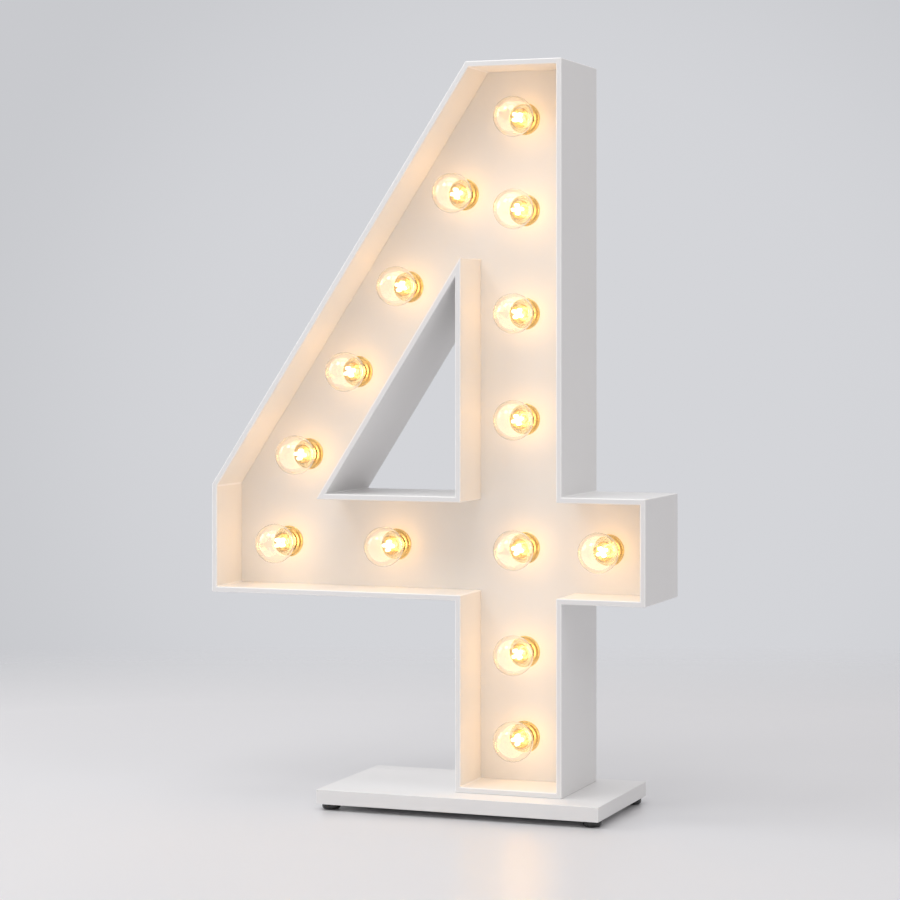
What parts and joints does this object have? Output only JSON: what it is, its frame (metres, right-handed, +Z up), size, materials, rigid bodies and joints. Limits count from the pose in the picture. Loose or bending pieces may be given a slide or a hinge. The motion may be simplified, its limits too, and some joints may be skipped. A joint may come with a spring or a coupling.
{
  "type": "marquee number",
  "caption": "Free-standing lit marquee number 4: a white boxed channel numeral on a flat base with levelling feet, lit by clear globe bulbs in brass-ringed lampholders.",
  "frame": {"origin": "on the floor under the middle of the object's bounding box", "axes": "+Z up, -Y towards the front, +X to the right as seen from the front"},
  "size_m": [0.575, 0.201, 0.926],
  "materials": {
    "painted_board": "satin white paint",
    "softwood": "bare sawn",
    "steel": "zinc plated",
    "foot_plastic": "satin",
    "brass": "polished",
    "black_plastic": "semi-gloss",
    "wire_plastic": "matte",
    "bulb_glass": "clear"
  },
  "bodies": {
    "frame": {"wall_stem_bottom": "painted_board", "wall_stem_right_lower": "painted_board", "wall_arm_underside": "painted_board", "wall_arm_end": "painted_board", "wall_arm_top": "painted_board", "wall_stem_right_upper": "painted_board", "wall_top": "painted_board", "wall_diagonal": "painted_board", "wall_bar_end": "painted_board", "wall_bar_underside": "painted_board", "wall_stem_left": "painted_board", "counter_bottom": "painted_board", "counter_right": "painted_board", "counter_diagonal": "painted_board", "face_panel": "painted_board", "rear_cover": "painted_board", "base_plate": "painted_board", "glue_blocks": "softwood", "mounting_block": "softwood", "cover_screws": "steel", "base_bolts": "steel", "lampholder_collars": "brass", "lampholder_bodies": "black_plastic", "lampholder_contacts": "brass", "wiring": "wire_plastic", "power_inlet": "black_plastic", "switch_frame": "black_plastic"},
    "bulb_01": {"bulb_01_globe": "bulb_glass", "bulb_01_screw_base": "brass"},
    "bulb_02": {"bulb_02_globe": "bulb_glass", "bulb_02_screw_base": "brass"},
    "bulb_03": {"bulb_03_globe": "bulb_glass", "bulb_03_screw_base": "brass"},
    "bulb_04": {"bulb_04_globe": "bulb_glass", "bulb_04_screw_base": "brass"},
    "bulb_05": {"bulb_05_globe": "bulb_glass", "bulb_05_screw_base": "brass"},
    "bulb_06": {"bulb_06_globe": "bulb_glass", "bulb_06_screw_base": "brass"},
    "bulb_07": {"bulb_07_globe": "bulb_glass", "bulb_07_screw_base": "brass"},
    "bulb_08": {"bulb_08_globe": "bulb_glass", "bulb_08_screw_base": "brass"},
    "bulb_09": {"bulb_09_globe": "bulb_glass", "bulb_09_screw_base": "brass"},
    "bulb_10": {"bulb_10_globe": "bulb_glass", "bulb_10_screw_base": "brass"},
    "bulb_11": {"bulb_11_globe": "bulb_glass", "bulb_11_screw_base": "brass"},
    "bulb_12": {"bulb_12_globe": "bulb_glass", "bulb_12_screw_base": "brass"},
    "bulb_13": {"bulb_13_globe": "bulb_glass", "bulb_13_screw_base": "brass"},
    "bulb_14": {"bulb_14_globe": "bulb_glass", "bulb_14_screw_base": "brass"},
    "foot_front_left": {"foot_front_left": "foot_plastic"},
    "foot_front_right": {"foot_front_right": "foot_plastic"},
    "foot_rear_left": {"foot_rear_left": "foot_plastic"},
    "foot_rear_right": {"foot_rear_right": "foot_plastic"},
    "rocker": {"switch_rocker": "black_plastic"}
  },
  "joints": [
    {"name": "bulb_01_screw", "type": "hinge", "parent": "frame", "child": "bulb_01", "pos_m": [0.1106, 0.013, 0.0885], "axis": [0, -1, 0], "range_deg": [0, 1150]},
    {"name": "bulb_02_screw", "type": "hinge", "parent": "frame", "child": "bulb_02", "pos_m": [0.1106, 0.013, 0.19439], "axis": [0, -1, 0], "range_deg": [0, 1150]},
    {"name": "bulb_03_screw", "type": "hinge", "parent": "frame", "child": "bulb_03", "pos_m": [0.1106, 0.013, 0.3238], "axis": [0, -1, 0], "range_deg": [0, 1150]},
    {"name": "bulb_04_screw", "type": "hinge", "parent": "frame", "child": "bulb_04", "pos_m": [0.1106, 0.013, 0.48421], "axis": [0, -1, 0], "range_deg": [0, 1150]},
    {"name": "bulb_05_screw", "type": "hinge", "parent": "frame", "child": "bulb_05", "pos_m": [0.1106, 0.013, 0.61575], "axis": [0, -1, 0], "range_deg": [0, 1150]},
    {"name": "bulb_06_screw", "type": "hinge", "parent": "frame", "child": "bulb_06", "pos_m": [0.1106, 0.013, 0.74461], "axis": [0, -1, 0], "range_deg": [0, 1150]},
    {"name": "bulb_07_screw", "type": "hinge", "parent": "frame", "child": "bulb_07", "pos_m": [0.1106, 0.013, 0.8585], "axis": [0, -1, 0], "range_deg": [0, 1150]},
    {"name": "bulb_08_screw", "type": "hinge", "parent": "frame", "child": "bulb_08", "pos_m": [-0.18289, 0.013, 0.4368], "axis": [0, -1, 0], "range_deg": [0, 1150]},
    {"name": "bulb_09_screw", "type": "hinge", "parent": "frame", "child": "bulb_09", "pos_m": [-0.11438, 0.013, 0.54272], "axis": [0, -1, 0], "range_deg": [0, 1150]},
    {"name": "bulb_10_screw", "type": "hinge", "parent": "frame", "child": "bulb_10", "pos_m": [-0.0448, 0.013, 0.65028], "axis": [0, -1, 0], "range_deg": [0, 1150]},
    {"name": "bulb_11_screw", "type": "hinge", "parent": "frame", "child": "bulb_11", "pos_m": [0.02989, 0.013, 0.76573], "axis": [0, -1, 0], "range_deg": [0, 1150]},
    {"name": "bulb_12_screw", "type": "hinge", "parent": "frame", "child": "bulb_12", "pos_m": [-0.211, 0.013, 0.3238], "axis": [0, -1, 0], "range_deg": [0, 1150]},
    {"name": "bulb_13_screw", "type": "hinge", "parent": "frame", "child": "bulb_13", "pos_m": [-0.06146, 0.013, 0.3238], "axis": [0, -1, 0], "range_deg": [0, 1150]},
    {"name": "bulb_14_screw", "type": "hinge", "parent": "frame", "child": "bulb_14", "pos_m": [0.22, 0.013, 0.3238], "axis": [0, -1, 0], "range_deg": [0, 1150]},
    {"name": "foot_front_left_level", "type": "slide", "parent": "frame", "child": "foot_front_left", "axis": [0, 0, -1], "range_m": [0, 0.008]},
    {"name": "foot_front_right_level", "type": "slide", "parent": "frame", "child": "foot_front_right", "axis": [0, 0, -1], "range_m": [0, 0.008]},
    {"name": "foot_rear_left_level", "type": "slide", "parent": "frame", "child": "foot_rear_left", "axis": [0, 0, -1], "range_m": [0, 0.008]},
    {"name": "foot_rear_right_level", "type": "slide", "parent": "frame", "child": "foot_rear_right", "axis": [0, 0, -1], "range_m": [0, 0.008]},
    {"name": "switch_rock", "type": "hinge", "parent": "frame", "child": "rocker", "pos_m": [0.1365, 0.08, 0.143], "axis": [1, 0, 0], "range_deg": [-22, 0]}
  ]
}
